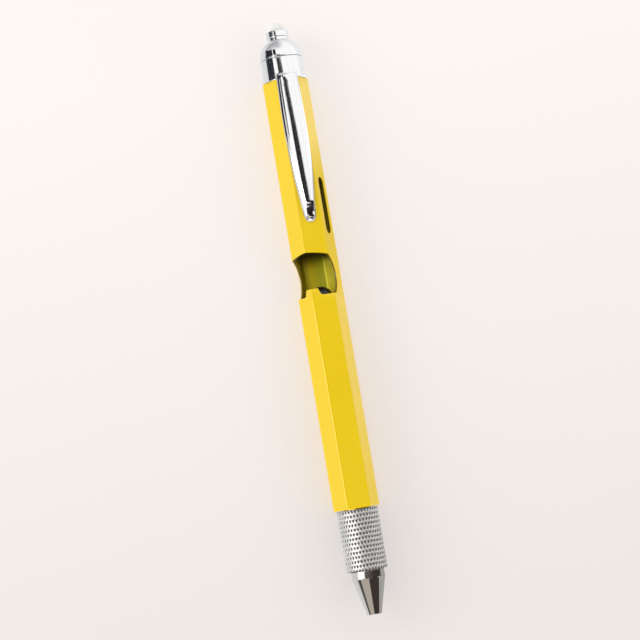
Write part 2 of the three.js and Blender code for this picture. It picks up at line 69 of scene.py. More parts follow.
def addNode(tree, kind, inputs=None, **settings):
    # one node with its settings; an input is a plain value, a hex colour, a socket to link, or a node, which
    # is linked by the first output that its settings leave in use
    node = tree.nodes.new("ShaderNode" + kind)
    for key, value in settings.items():
        setattr(node, key, value)
    for key, value in (inputs or {}).items():
        if isinstance(value, bpy.types.Node):
            value = next(output for output in value.outputs if output.enabled)
        if isinstance(value, str):
            value = linearColour(value)
        if isinstance(value, bpy.types.NodeSocket):
            tree.links.new(value, node.inputs[key])
        else:
            node.inputs[key].default_value = value
    return node


def addObject(name, data):
    added = bpy.data.objects.new(name, data)
    bpy.context.scene.collection.objects.link(added)
    return added


# Camera: the photograph's view, from a pinhole model fitted to the pen's edges
cameraView = {
    "imageWidth": 640,
    "focalPixels": 2279,
    "distance": 564.0,          # mm from the aimed station
    "aimedStation": 75.36,
    "sidePixels": 4.99,         # the axis passes right of the image centre
    "lean": 9.52,               # degrees, top of the pen to the left
    "tipTowards": 4.5,          # degrees, writing tip nearer the camera
    "roll": 6.9,                # degrees, clip face turned to the right
    "nearest": 0.01,            # metres, the range that the camera shows
    "furthest": 20,
}


def makeCamera(view):
    # the pen's axes as the camera sees them: x right, y up, z towards the camera
    lean, tip, roll = (math.radians(view[key]) for key in ("lean", "tipTowards", "roll"))
    along = Vector((math.sin(lean) * math.cos(tip), -math.cos(lean) * math.cos(tip), math.sin(tip)))
    side = Vector((math.cos(lean), math.sin(lean), 0))
    towards = along.cross(side)
    acrossAxis = side * math.cos(roll) - towards * math.sin(roll)
    upAxis = towards * math.cos(roll) + side * math.sin(roll)
    cameraToPen = Matrix((along, acrossAxis, upAxis))
    aimed = Vector((penStart + view["aimedStation"] * millimetre, 0, axisHeight))
    sideShift = side * view["sidePixels"] * view["distance"] / view["focalPixels"]
    eye = Vector((0, 0, view["distance"])) - sideShift
    data = bpy.data.cameras.new("photoCamera")
    data.lens = data.sensor_width * view["focalPixels"] / view["imageWidth"]
    data.clip_start, data.clip_end = view["nearest"], view["furthest"]
    camera = addObject("photoCamera", data)
    camera.matrix_world = Matrix.Translation(aimed + cameraToPen @ eye * millimetre) @ cameraToPen.to_4x4()
    bpy.context.scene.camera = camera


makeCamera(cameraView)
print("camera placed")


def radial(degrees):
    # a direction across the pen: 0 is its right side in the photograph, and 90 is up, over the clip
    return np.array([0, math.cos(math.radians(degrees)), math.sin(math.radians(degrees))])


# Outlines: rows of points in millimetres
def roundedOutline(corners, steps=6, support=0.05):
    # each corner (station, radius, fillet) becomes a quadratic arc between points a fillet away from it,
    # with one more point beyond each end of the arc so that the long faces stay flat
    corners = np.array(corners, float)
    points, size = corners[:, :2], corners[:, 2:3]
    before = np.roll(points, 1, 0) - points
    after = np.roll(points, -1, 0) - points
    before /= np.linalg.norm(before, axis=1, keepdims=True)
    after /= np.linalg.norm(after, axis=1, keepdims=True)
    t = np.linspace(0, 1, steps)[None, :, None]
    start, end = points + before * size, points + after * size
    arcs = (1 - t) ** 2 * start[:, None] + 2 * t * (1 - t) * points[:, None] + t ** 2 * end[:, None]
    extra = support * (size > 0)
    arcs = np.concatenate([(start + before * extra)[:, None], arcs, (end + after * extra)[:, None]], 1)
    return arcs.reshape(-1, 2)


def arcOutline(station, radius, start, end, steps, stretch=1.0):
    # arc about a centre on the axis, with the angle from the torch end; stretch lengthens it along the pen
    angle = np.radians(np.linspace(start, end, steps))
    return np.stack([station - stretch * radius * np.cos(angle), radius * np.sin(angle)], -1)


def hexagonPoints(flats, cornerRadius, steps, support=0.05):
    # rounded hexagon: six arcs about corner centres, each from 30 degrees before its corner to 30 after,
    # with one more point on the flat beyond each end of an arc
    corner = np.radians(np.arange(6) * 60)[:, None]
    spread = np.radians(np.linspace(-30, 30, steps))[None, :]
    centre = (flats / 2 - cornerRadius) / math.cos(math.pi / 6)
    y = centre * np.cos(corner) + cornerRadius * np.cos(corner + spread)
    z = centre * np.sin(corner) + cornerRadius * np.sin(corner + spread)
    arcs = np.stack([y, z], -1)
    before = (corner - math.pi / 6 - math.pi / 2)[:, 0]
    after = (corner + math.pi / 6 + math.pi / 2)[:, 0]
    first = arcs[:, 0] + support * np.stack([np.cos(before), np.sin(before)], -1)
    last = arcs[:, -1] + support * np.stack([np.cos(after), np.sin(after)], -1)
    return np.concatenate([first[:, None], arcs, last[:, None]], 1).reshape(-1, 2)


# Surfaces: grids of points, rows by columns by xyz in millimetres
def gridOf(x, y, z):
    return np.stack(np.broadcast_arrays(x, y, z), -1)


def prismGrid(outline, stations):
    # a closed outline across the pen, repeated at each station
    stations = np.array(stations, float)[:, None]
    return gridOf(stations, outline[None, :, 0], outline[None, :, 1])


def meshFromGrid(grid, closeRows=True):
    # a grid to quads; repeated points at poles and corners merge, and rows that don't close get flat ends
    rows, columns = grid.shape[:2]
    row = np.arange(rows if closeRows else rows - 1)[:, None]
    column = np.arange(columns)[None, :]
    nextRow, nextColumn = (row + 1) % rows, (column + 1) % columns
    corners = [row * columns + column, row * columns + nextColumn,
               nextRow * columns + nextColumn, nextRow * columns + column]
    faces = np.stack([np.broadcast_to(c, (row.size, columns)) for c in corners], -1).reshape(-1, 4)
    mesh = bpy.data.meshes.new("surface")
    mesh.from_pydata(grid.reshape(-1, 3) * millimetre, [], faces)
    work = bmesh.new()
    work.from_mesh(mesh)
    bmesh.ops.remove_doubles(work, verts=work.verts, dist=1e-7)
    if not closeRows:
        bmesh.ops.holes_fill(work, edges=[edge for edge in work.edges if edge.is_boundary])
    bmesh.ops.recalc_face_normals(work, faces=work.faces)
    work.to_mesh(mesh)
    work.free()
    return mesh


def turnedMesh(outline, segments=160):
    # surface of revolution: x is the station, y and z the radius times cosine and sine of the turn
    turn = np.linspace(0, 2 * np.pi, segments, endpoint=False)
    station, radius = outline[:, :1], outline[:, 1:2]
    return meshFromGrid(gridOf(station, radius * np.cos(turn), radius * np.sin(turn)))


def prismBetween(outline, xDirection, yDirection, nearDepth, farDepth):
    # an outline on a plane through the axis, carried along the plane's normal between two depths
    normal = np.cross(xDirection, yDirection)
    flat = outline[:, :1] * xDirection + outline[:, 1:2] * yDirection
    return meshFromGrid(np.stack([flat + normal * nearDepth, flat + normal * farDepth]), closeRows=False)


def boxBetween(low, high):
    # a plain box as a cutter, from its lowest and highest corners
    ring = np.array([(low[1], low[2]), (high[1], low[2]), (high[1], high[2]), (low[1], high[2])])
    return meshFromGrid(prismGrid(ring, [low[0], high[0]]), closeRows=False)


def carveMesh(body, steps, edgeRound):
    # the body with other solids joined to it or cut from it, by exact booleans, and its sharp edges rounded
    target = addObject("carvedBody", body)
    helpers = []
    for operation, solid in steps:
        helpers.append(addObject("carvingSolid", solid))
        carve = target.modifiers.new("carve", "BOOLEAN")
        carve.operation, carve.object, carve.solver = operation, helpers[-1], "EXACT"
    soften = target.modifiers.new("soften", "BEVEL")
    soften.width, soften.segments = edgeRound * millimetre, 3
    soften.limit_method, soften.angle_limit = "ANGLE", math.radians(40)
    bpy.context.view_layer.update()
    graph = bpy.context.evaluated_depsgraph_get()
    result = bpy.data.meshes.new_from_object(target.evaluated_get(graph), depsgraph=graph)
    for item in [target, *helpers]:
        bpy.data.objects.remove(item)
    return result


def addPiece(name, mesh, body, node, material, smoothAngle=35):
    # a finished mesh in pen space, moved to the frame, as the piece that stands for a CAD node
    mesh.name = name
    mesh.transform(Matrix.Translation((penStart, 0, axisHeight)))
    mesh.shade_smooth()
    mesh.set_sharp_from_angle(angle=math.radians(smoothAngle))
    mesh.materials.clear()
    mesh.materials.append(material)
    piece = addObject(name, mesh)
    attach(piece, body)
    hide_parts(node)


# Materials
def newMaterial(name):
    # an empty node tree, and the socket that gives a point's place in the frame
    material = bpy.data.materials.new(name)
    material.use_nodes = True
    tree = material.node_tree
    tree.nodes.clear()
    return material, tree, addNode(tree, "TexCoord").outputs["Object"]


def perMetre(sizeMillimetres):
    # texture scale whose pattern repeats every so many millimetres
    return 1 / (sizeMillimetres * millimetre)


def maskWithin(tree, point, bounds):
    # 1 where a point is past every bound; a bound is a direction, and where the ramp along it starts and
    # ends in mm
    mask = 1.0
    for direction, start, end in bounds:
        distance = addNode(tree, "VectorMath", {0: point, 1: direction}, operation="DOT_PRODUCT")
        passed = addNode(tree, "MapRange", {
            "Value": distance, "From Min": start * millimetre, "From Max": end * millimetre})
        mask = addNode(tree, "Math", {0: mask, 1: passed}, operation="MULTIPLY")
    return mask


def layColours(tree, point, colour, layers):
    # each layer in turn covers what is under it within its bounds
    for hexCode, *bounds in layers:
        colour = addNode(tree, "Mix", {
            0: maskWithin(tree, point, bounds), 6: colour, 7: hexCode}, data_type="RGBA")
    return colour


enamel = {
    "paint": ("#f4cf06", "#f8d60a"),    # it varies a little between these
    # the cut faces are painted dark brown, as the shade that falls in the openings
    "cutFaceShade": "#5d4a12",
    "gloss": (0.18, 0.22),              # and the roughness with it
    "pigmentSize": 14,                  # mm
    "peelSize": 0.9,
    "peelDepth": 0.004,
    "boreDepth": (4.505, 4.53),         # mm from the axis, where the bore turns to a cut face
    "paintDepth": (4.8, 4.9),           # and a cut face to paint
    "boreMetal": 0.65,
    "cutDullness": 0.16,
    "filmAndShade": "#8d7f18",                  # in the bore, darker on the left as painted shade, and in turn across it towards the right
    # the layers paint light and shade into the bore: lighter towards the right, darker at the torch end
    "lightAndShadeLayers": [
        ("#d8c210", (acrossPen, -3.0, -1.2)),
        ("#c4bf2c", (acrossPen, -0.6, 1.4)),
        # painted light on the bore's right wall
        ("#f7ed5e", (acrossPen, 2.5, 2.65)),
        ("#5e5616", (alongPen, 57.0, 57.5), (alongPen, 60.8, 58.9))],      # painted shade at the window's torch end
}


def bakedEnamel():
    # baked yellow enamel on aluminium: glossy and even, with a faint orange peel from the spray; the cut
    # faces of the openings are dull and painted dark brown as shade, and the bore is bare metal under an
    # olive film, with painted shade on the left and at the torch end of the window and painted light on the
    # right
    material, tree, place = newMaterial("bakedYellowEnamel")
    peel = addNode(tree, "TexNoise", {
        "Vector": place, "Scale": perMetre(enamel["peelSize"]), "Detail": 2.0})
    pigment = addNode(tree, "TexNoise", {
        "Vector": place, "Scale": perMetre(enamel["pigmentSize"]), "Detail": 3.0})
    paint = addNode(tree, "Mix", {
        0: pigment, 6: enamel["paint"][0], 7: enamel["paint"][1]}, data_type="RGBA")
    # depth is the largest distance from the axis along the normals of the barrel's faces
    point = addNode(tree, "VectorMath", {0: place, 1: (penStart, 0, axisHeight)}, operation="SUBTRACT")
    depth = 0.0
    for faceAngle in (30, 90, 150):
        along = addNode(tree, "VectorMath", {0: point, 1: radial(faceAngle)}, operation="DOT_PRODUCT")
        distance = addNode(tree, "Math", {0: along}, operation="ABSOLUTE")
        depth = addNode(tree, "Math", {0: depth, 1: distance}, operation="MAXIMUM")
    pastBore, pastCut = (addNode(tree, "MapRange", {
        "Value": depth, "From Min": start * millimetre, "From Max": end * millimetre})
        for start, end in (enamel["boreDepth"], enamel["paintDepth"]))
    # the bore's olive film, with light and shade painted across it
    filmAndShade = layColours(tree, point, enamel["filmAndShade"], enamel["lightAndShadeLayers"])
    # the cut faces take the painted dark brown shade
    inside = addNode(tree, "Mix", {0: pastBore, 6: filmAndShade, 7: enamel["cutFaceShade"]}, data_type="RGBA")
    colour = addNode(tree, "Mix", {0: pastCut, 6: inside, 7: paint}, data_type="RGBA")
    bare = addNode(tree, "MapRange", {"Value": pastBore, "To Min": enamel["boreMetal"], "To Max": 0.0})
    gloss = addNode(tree, "MapRange", {
        "Value": pigment, "To Min": enamel["gloss"][0], "To Max": enamel["gloss"][1]})
    dull = addNode(tree, "MapRange", {
        "Value": pastCut, "To Min": enamel["cutDullness"], "To Max": 0.0})
    roughness = addNode(tree, "Math", {0: gloss, 1: dull}, operation="ADD")
    bump = addNode(tree, "Bump", {
        "Strength": 0.5, "Distance": enamel["peelDepth"] * millimetre, "Height": peel})
    shader = addNode(tree, "BsdfPrincipled", {
        "Base Color": colour, "Metallic": bare, "Roughness": roughness, "IOR": 1.55, "Normal": bump})
    addNode(tree, "OutputMaterial", {"Surface": shader})
    return material


def grainedSurface(name, look, noise, gloss, relief, stretch=(1, 1, 1)):
    # gloss and relief follow one noise. In order: its size in mm and detail, the two roughnesses, and the
    # relief's strength and its depth in mm
    material, tree, place = newMaterial(name)
    stretched = addNode(tree, "Mapping", {"Vector": place, "Scale": stretch})
    grain = addNode(tree, "TexNoise", {"Vector": stretched, "Scale": perMetre(noise[0]), "Detail": noise[1]})
    inputs = {**look, "Roughness": addNode(tree, "MapRange", {
        "Value": grain, "To Min": gloss[0], "To Max": gloss[1]})}
    if relief[1]:
        inputs["Normal"] = addNode(tree, "Bump", {
            "Strength": relief[0], "Distance": relief[1] * millimetre, "Height": grain})
    shader = addNode(tree, "BsdfPrincipled", inputs)
    addNode(tree, "OutputMaterial", {"Surface": shader})
    return material


def turnedMetal(name, hexCode, roughness, lineMillimetres, ringMillimetres=0):
    # metal or plate: a mirror with faint streaks round the axis; rings from the lathe tool give a satin sheen
    look = {"Base Color": hexCode, "Metallic": 1.0}
    return grainedSurface(name, look, (lineMillimetres, 3.0), (roughness * 0.7, roughness * 1.4),
                          (0.6, ringMillimetres), (1, 0.06, 0.06))


def mouldedPlastic(name, hexCode, roughness, grainMillimetres):
    # moulded plastic or rubber: fine spark-eroded grain, soft gloss
    look = {"Base Color": hexCode, "IOR": 1.5}
    gloss = (roughness - 0.06, roughness + 0.06)
    return grainedSurface(name, look, (grainMillimetres, 4.0), gloss, (0.4, 0.01))


def clearResin(name, hexCode, index, roughness, clearness):
    # clear moulded resin: bright rim, with the faintest flow lines inside
    look = {"Base Color": hexCode, "IOR": index, "Transmission Weight": clearness}
    return grainedSurface(name, look, (1.6, 1.0), (roughness, roughness * 2), (0.2, 0.01))


yellowEnamel = bakedEnamel()                                                # even glossy yellow
chrome = turnedMetal("chromePlatedBrass", "#f0f0f1", 0.05, 0.5)             # near mirror, hard edged bands
clipChrome = turnedMetal("chromePlatedSpringSteel", "#f0f0f1", 0.05, 0.6)   # the same, streaks a bit wider
noseMetal = turnedMetal("satinTurnedSteel", "#d6d4cf", 0.06, 0.22, 0.0006)  # mirror with a satin sheen
turnedBrass = turnedMetal("turnedBrass", "#d8b25a", 0.25, 0.3, 0.004)       # dull yellow
springWire = turnedMetal("drawnSpringWire", "#a9abae", 0.3, 0.2, 0.002)     # dull grey
nickelCan = turnedMetal("nickelPlatedCellCan", "#cfcfd0", 0.22, 0.5, 0.002)  # pale grey sheen
tinnedWire = turnedMetal("tinnedCopperWire", "#c9c9c6", 0.35, 0.2, 0.002)   # dull pale grey
refillMetal = turnedMetal("nickelSilverRefill", "#cdc6b8", 0.25, 0.3, 0.002)  # warm grey sheen
ballCarbide = turnedMetal("tungstenCarbide", "#8c8c90", 0.12, 0.1, 0.001)   # small dark mirror
blackAcetal = mouldedPlastic("blackAcetal", "#120a16", 0.26, 0.25)          # near black, soft gloss
whiteNylon = mouldedPlastic("whiteNylon", "#e4e1da", 0.5, 0.25)             # warm matt white
nitrile = mouldedPlastic("nitrileRubber", "#1b1b1b", 0.7, 0.15)             # matt black
lensAcrylic = clearResin("frostedAcrylicLens", "#ffffff", 1.49, 0.12, 0.1)  # milky, with a bright rim
lampEpoxy = clearResin("clearLampEpoxy", "#f6f6ee", 1.54, 0.05, 0.9)        # clear, faintly yellow
print("materials made")


# Torch lens: a hollow dome
lens = {"radius": 2.15, "dome": 2.0, "wall": 0.45, "rimRound": 0.08}


def makeLens():
    start, end = stationsOf("torch_lens")
    inner = lens["radius"] - lens["wall"]
    centre = start + lens["dome"]
    dome = arcOutline(centre, lens["radius"], 0, 90, 32, lens["dome"] / lens["radius"])
    skirt = roundedOutline([(end, lens["radius"], lens["rimRound"]), (end, inner, lens["rimRound"])])[1:-1]
    hollow = arcOutline(centre, inner, 90, 0, 20, (lens["dome"] - lens["wall"]) / inner)
    addPiece("torchLensClear", turnedMesh(np.vstack([dome, skirt, hollow]), 96),
             "button", "torch_lens", lensAcrylic)


# Push button: the ring round the lens, on a stem with a flange inside the cap
button = {"seatDepth": 0.2, "seat": 2.2, "ring": 2.77, "ringEnd": 3.95, "stem": 2.6, "flange": 3.1,
          "flangeStart": 8.7, "bore": 1.85, "lensGap": 0.05}


def makeButton():
    start, end = stationsOf("torch_button")
    lensEnd = stationsOf("torch_lens")[1] + button["lensGap"]
    outline = roundedOutline([
        (start + button["seatDepth"], button["seat"], 0.05), (start, button["seat"] + 0.1, 0.05),
        (start, button["ring"], 0.3), (button["ringEnd"], button["ring"], 0.1),
        (button["ringEnd"], button["stem"], 0.03), (button["flangeStart"], button["stem"], 0.03),
        (button["flangeStart"], button["flange"], 0.08), (end, button["flange"], 0.1),
        (end, button["bore"], 0.05), (lensEnd, button["bore"], 0.03), (lensEnd, button["seat"], 0.02)])
    addPiece("torchButtonRing", turnedMesh(outline, 128), "button", "torch_button", chrome)


# Torch cap: a dome over a skirt that screws into the collar
cap = {"domeStation": 9.1, "domeRadius": 5.25, "edge": 9.45, "skirt": 4.15, "front": 2.7, "shoulder": 8.4,
       "chamber": 3.3, "clearOfLip": 1.5, "clearOfEdge": 1.0}      # the last two in degrees of the dome's arc


def makeCap():
    start, end = stationsOf("torch_cap")
    first, last = (math.degrees(math.acos((cap["domeStation"] - station) / cap["domeRadius"]))
                   for station in (start, cap["edge"]))
    # the second corner only gives the direction of the front's flat, and its points are dropped
    lipCorners = [(start, cap["front"], 0.12), (start, cap["domeRadius"] * math.sin(math.radians(first)), 0)]
    corners = roundedOutline(lipCorners)
    lip = corners[:len(corners) // 2]
    dome = arcOutline(
        cap["domeStation"], cap["domeRadius"], first + cap["clearOfLip"], last - cap["clearOfEdge"], 56)
    inside = roundedOutline([
        (cap["edge"], cap["domeRadius"] - 0.02, 0.08), (cap["edge"], cap["skirt"], 0.05),
        (end, cap["skirt"], 0.15), (end, cap["chamber"], 0.1), (cap["shoulder"], cap["chamber"], 0.1),
        (cap["shoulder"], cap["front"], 0.05)])
    addPiece("torchCapDome", turnedMesh(np.vstack([lip, dome, inside[1:]]), 192),
             "torch_head", "torch_cap", chrome)


makeLens()
makeButton()
makeCap()
print("torch made")


# Collar: a band with a pocket in its lower edge for the clip's foot, and a hexagonal spigot
collar = {"topRadius": 5.25, "swellStation": 13.55, "swellRadius": 5.343, "edge": 15.1, "edgeRadius": 5.37,
          "thread": 4.25, "threadEnd": 14.1, "bore": 3.45, "boreStart": 14.0, "spigotStart": 14.6,
          "spigotFlats": 8.8, "spigotCorner": 0.3}
pocket = {"start": 13.85, "end": 15.4, "halfWidth": 2.75, "floor": 4.35, "top": 6.35, "edgeRound": 0.05}


def makeCollar():
    start, end = stationsOf("clip_collar")
    band = turnedMesh(roundedOutline([
        (start, collar["thread"], 0.05), (start, collar["topRadius"], 0.1),
        (collar["swellStation"], collar["swellRadius"], 0.02),
        (collar["edge"], collar["edgeRadius"], 0.14), (collar["edge"], collar["bore"], 0.05),
        (collar["threadEnd"], collar["bore"], 0.05), (collar["threadEnd"], collar["thread"], 0.05)],
        steps=7), 240)
    hexagon = hexagonPoints(collar["spigotFlats"], collar["spigotCorner"], 5)
    spigot = meshFromGrid(prismGrid(hexagon, [collar["spigotStart"], end]), closeRows=False)
    hole = arcOutline(0, collar["bore"], 0, 360, 97)[:-1]
    bore = meshFromGrid(prismGrid(hole, [collar["boreStart"], end + cutterReach]), closeRows=False)
    room = boxBetween((pocket["start"], -pocket["halfWidth"], pocket["floor"]),
                      (pocket["end"], pocket["halfWidth"], pocket["top"]))
    steps = [("UNION", spigot), ("DIFFERENCE", bore), ("DIFFERENCE", room)]
    mesh = carveMesh(band, steps, pocket["edgeRound"])
    addPiece("clipCollarBand", mesh, "barrel", "clip_collar", chrome)


makeCollar()
print("collar made")


# Pocket clip: a crowned strip with a foot in the collar's pocket and a toe that falls to the barrel
clip = {
    "edgeHeight": 5.15,         # heights are above the axis
    "thickness": 0.5,
    "footEnd": 14.65, "footBase": 4.65,
    "hollowEnd": 47.6,
    "footBlend": 0.3, "toeBlend": 1.2,      # how far the hollow takes to open and to close
    "rimRound": 0.14, "rimShare": 0.3,      # the rim's rounding, and its largest share of the half width
    "toe": {"station": 46.4, "fall": 0.068, "bend": 0.012, "ease": 0.15},   # slope, and how it grows per mm
    "rows": [                   # first and last station of each run of rows, and how many
        (13.95, 14.65, 15), (14.66, 15.4, 10), (15.7, 46.0, 60), (46.3, 47.6, 8), (47.8, 50.4, 16),
        (50.5, 51.5, 18)],
    "plan": [                   # station, half width, height of the crown
        (13.95, 2.6, 5.9), (14.05, 2.63, 6.25), (14.25, 2.66, 6.49), (14.55, 2.68, 6.67),
        (15.0, 2.7, 6.76), (16.8, 2.75, 6.739), (21.2, 2.85, 6.687), (25.1, 2.91, 6.641),
        (29.1, 2.91, 6.593), (33.0, 2.83, 6.547), (36.0, 2.71, 6.512), (38.9, 2.54, 6.477),
        (40.9, 2.4, 6.454), (42.9, 2.21, 6.43), (44.8, 2.04, 6.407), (46.8, 1.84, 6.384),
        (48.8, 1.65, 6.36), (49.8, 1.52, 6.31), (50.5, 1.34, 6.22), (51.0, 1.09, 6.08),
        (51.3, 0.79, 5.88), (51.5, 0.36, 5.5)],
}


def smoothCurve(places, knots, column):
    # cubic through the knots; a knot's slope is the harmonic mean of those on its two sides, or 0 at a turn
    x, value = knots[:, 0], knots[:, column]
    rises = np.diff(value) / np.diff(x)
    before, after = np.append(rises[:1], rises), np.append(rises, rises[-1:])
    level = before * after > 0
    slope = np.where(level, 2 * before * after / np.where(level, before + after, 1), 0)
    i = np.clip(np.searchsorted(x, places, side="right") - 1, 0, len(x) - 2)
    gap = x[i + 1] - x[i]
    t = (places - x[i]) / gap
    return ((2 * t ** 3 - 3 * t ** 2 + 1) * value[i] + (t ** 3 - 2 * t ** 2 + t) * gap * slope[i]
            + (3 * t ** 2 - 2 * t ** 3) * value[i + 1] + (t ** 3 - t ** 2) * gap * slope[i + 1])


def makeClip():
    # a section is a circle arc over the crown, round rims, and a second arc the wall's thickness inside
    knots = np.array(clip["plan"])
    stations = np.concatenate([np.linspace(*run) for run in clip["rows"]])[:, None]
    width, crown = smoothCurve(stations, knots, 1), smoothCurve(stations, knots, 2)
    rise = crown - clip["edgeHeight"]
    arcRadius = (width ** 2 + rise ** 2) / (2 * rise)
    centre = crown - arcRadius
    # the wall is hollow between the foot and the toe, and its under side closes gently at both
    opening = np.clip((stations - clip["footEnd"]) / clip["footBlend"], 0, 1)
    closing = np.clip((clip["hollowEnd"] - stations) / clip["toeBlend"], 0, 1)
    base = np.where(stations > clip["footEnd"], clip["edgeHeight"], clip["footBase"])
    rim = np.minimum(clip["rimRound"], clip["rimShare"] * width)
    spread = np.arctan2(width, arcRadius - rise) - rim / arcRadius
    outerY = arcRadius * np.sin(spread * np.linspace(-1, 1, 49))
    outerZ = centre + arcRadius * np.cos(spread * np.linspace(-1, 1, 49))
    innerRadius = np.maximum(arcRadius - clip["thickness"], 0.01)
    innerSpan = innerRadius ** 2 - (clip["edgeHeight"] - centre) ** 2
    innerY = np.sqrt(np.maximum(innerSpan, (0.5 * width) ** 2)) * np.linspace(1, -1, 33)
    inside = np.sqrt(np.maximum(innerRadius ** 2 - innerY ** 2, 0)) + centre - clip["edgeHeight"]
    innerZ = base + (opening * closing) ** 0.5 * np.maximum(inside, 0)
    # each rim is a quadratic arc from the outer arc's end, round the corner, to the under side
    t = np.linspace(0, 1, 8)[1:]
    rimY = (1 - t) ** 2 * outerY[:, -1:] + 2 * t * (1 - t) * width + t ** 2 * (width - rim)
    rimZ = (1 - t) ** 2 * outerZ[:, -1:] + 2 * t * (1 - t) * base + t ** 2 * base
    toe = clip["toe"]
    fallen = np.clip(stations - toe["station"], 0, knots[-2, 0] - toe["station"])
    eased = np.sqrt(fallen ** 2 + toe["ease"]) - np.sqrt(toe["ease"])
    outerZ = outerZ - toe["fall"] * eased - toe["bend"] * fallen ** 2 / 2
    y = np.concatenate([outerY, rimY, innerY, -rimY[:, ::-1]], 1)
    z = np.concatenate([outerZ, rimZ, innerZ, rimZ[:, ::-1]], 1)
    grid = gridOf(stations, y, z)
    # both ends close in the middle of their last row
    middles = [row.mean(1, keepdims=True) + 0 * row for row in (grid[:1], grid[-1:])]
    mesh = meshFromGrid(np.concatenate([middles[0], grid, middles[1]]), closeRows=False)
    addPiece("pocketClipStrip", mesh, "clip", "pocket_clip", clipChrome, 50)


makeClip()
print("clip made")


# Barrel: hexagonal tube, cut by the slot and the opener window, with its edges rounded
barrel = {"flats": 10.0, "corner": 0.4, "boreFlats": 9.0, "boreCorner": 0.3, "edgeRound": 0.12,
          "endRing": 0.25, "ringSpacing": 1.5}
slot = {"start": 40.4, "end": 54.7, "halfWidth": 1.4, "faceAngle": 30, "nearDepth": 2.5, "farDepth": 6.5}
opener = {"cornerAngle": 120, "arcStation": 65.25, "arcDepth": 6.35, "arcRadius": 6.45, "notchEnd": 69.65,
          "notchFillet": 0.45, "toothInner": 4.55, "toothTipDepth": 4.85, "toothTip": 67.95,
          "toothRound": 0.12}


def slotOutline():
    # two half circles joined by straight sides
    angle = np.radians(np.linspace(-90, 90, 25))
    x, y = slot["halfWidth"] * np.cos(angle), slot["halfWidth"] * np.sin(angle)
    right = np.stack([slot["end"] - slot["halfWidth"] + x, y], -1)
    left = np.stack([slot["start"] + slot["halfWidth"] - x[::-1], y[::-1]], -1)
    return np.vstack([right, left])


def openerOutline():
    # a big arc into the tube, a notch floor with a rounded corner, and the tooth's inner side and tip
    far = barrel["flats"]
    notchAngle = math.degrees(math.asin((opener["notchEnd"] - opener["arcStation"]) / opener["arcRadius"]))
    angle = np.radians(np.linspace(180, 270 + notchAngle, 56))
    arc = np.stack([opener["arcStation"] + opener["arcRadius"] * np.cos(angle),
                    opener["arcDepth"] + opener["arcRadius"] * np.sin(angle)], -1)
    # the first corner only gives the direction of the notch's floor, and its points are dropped
    steps = 7
    corner = roundedOutline([
        (opener["notchEnd"], arc[-1, 1], 0),
        (opener["notchEnd"], opener["toothInner"], opener["notchFillet"]),
        (opener["toothTip"], opener["toothTipDepth"], opener["toothRound"]), (opener["toothTip"], far, 0)],
        steps=steps, support=0)[steps + 2:]
    outline = np.vstack([[[opener["arcStation"] - opener["arcRadius"], far]], arc, corner])
    moved = np.linalg.norm(np.diff(outline, axis=0), axis=1) > 1e-6
    return outline[np.concatenate([[True], moved])]


def makeBarrel():
    start, end = stationsOf("barrel")
    spacing = barrel["ringSpacing"]
    rings = np.concatenate([[start, start + barrel["endRing"]], np.arange(start + spacing, end - 1, spacing),
                            [end - barrel["endRing"], end]])
    outline = hexagonPoints(barrel["flats"], barrel["corner"], 9)
    boreOutline = hexagonPoints(barrel["boreFlats"], barrel["boreCorner"], 7)
    outside = meshFromGrid(prismGrid(outline, rings), closeRows=False)
    hollow = meshFromGrid(prismGrid(boreOutline, [start - cutterReach, end + cutterReach]), closeRows=False)
    along = np.array(alongPen, float)
    slotCutter = prismBetween(slotOutline(), along, np.cross(radial(slot["faceAngle"]), along),
                              slot["nearDepth"], slot["farDepth"])
    window = prismBetween(
        openerOutline(), along, radial(opener["cornerAngle"]), -barrel["flats"], barrel["flats"])
    cuts = [("DIFFERENCE", solid) for solid in (hollow, slotCutter, window)]
    mesh = carveMesh(outside, cuts, barrel["edgeRound"])
    addPiece("barrelTube", mesh, "barrel", "barrel", yellowEnamel, 25)


makeBarrel()
print("barrel made")


# Mechanism sleeve: the black domed end in the opener window, with a groove inside that guides the peg
sleeve = {"dome": 2.9, "head": 3.0, "headEnd": 70.6, "body": 4.4, "bore": 2.7, "floor": 73.0,
          "grooveStart": 76.7, "grooveHalfWidth": 0.8, "grooveDepth": 3.62, "edgeRound": 0.03}


def makeSleeve():
    start, end = stationsOf("mechanism_sleeve")
    head = arcOutline(start + sleeve["dome"], sleeve["head"], 0, 88, 28, sleeve["dome"] / sleeve["head"])
    body = roundedOutline([
        (sleeve["headEnd"], sleeve["head"], 0.15), (sleeve["headEnd"], sleeve["body"], 0.25),
        (end, sleeve["body"], 0.2), (end, sleeve["bore"], 0.1), (sleeve["floor"], sleeve["bore"], 0.2),
        (sleeve["floor"], 0, 0)])
    groove = boxBetween((sleeve["grooveStart"], -sleeve["grooveHalfWidth"], 0),
                        (end + cutterReach, sleeve["grooveHalfWidth"], sleeve["grooveDepth"]))
    mesh = carveMesh(turnedMesh(np.vstack([head, body]), 96), [("DIFFERENCE", groove)], sleeve["edgeRound"])
    addPiece("mechanismSleeveDome", mesh, "barrel", "mechanism_sleeve", blackAcetal)


makeSleeve()
print("mechanism sleeve made")


# Knurled grip: two crossing families of ridges leave a small pit in each diamond between them
knurl = {
    "around": 38, "rowSpacing": 1.11, "peak": 5.15, "bore": 4.4, "endRound": 0.2,
    "firstRow": 0.5, "firstTurn": 0.39,             # where the first pit lies, in mm and in pitches
    "depth": 0.25, "pitHalfWidth": 0.27, "pitHalfLength": 0.36,
    "pitFloor": 1.15, "pitSteepness": 1.5,          # the floor is flat where the pit's curve is over 1
    "rimFall": 0.1, "rimSpread": 2.2,
    "perPit": 10,                                   # rows and columns of points for each pit
    # the pits are painted darker, as the shade that falls in them
    "crestColour": "#e9e7e5", "pitShade": "#777473",
    "shadeBelow": 0.22, "shadeEndsAbove": 0.1,          # mm under the crest, where the painted pit shade is full and where it ends
}


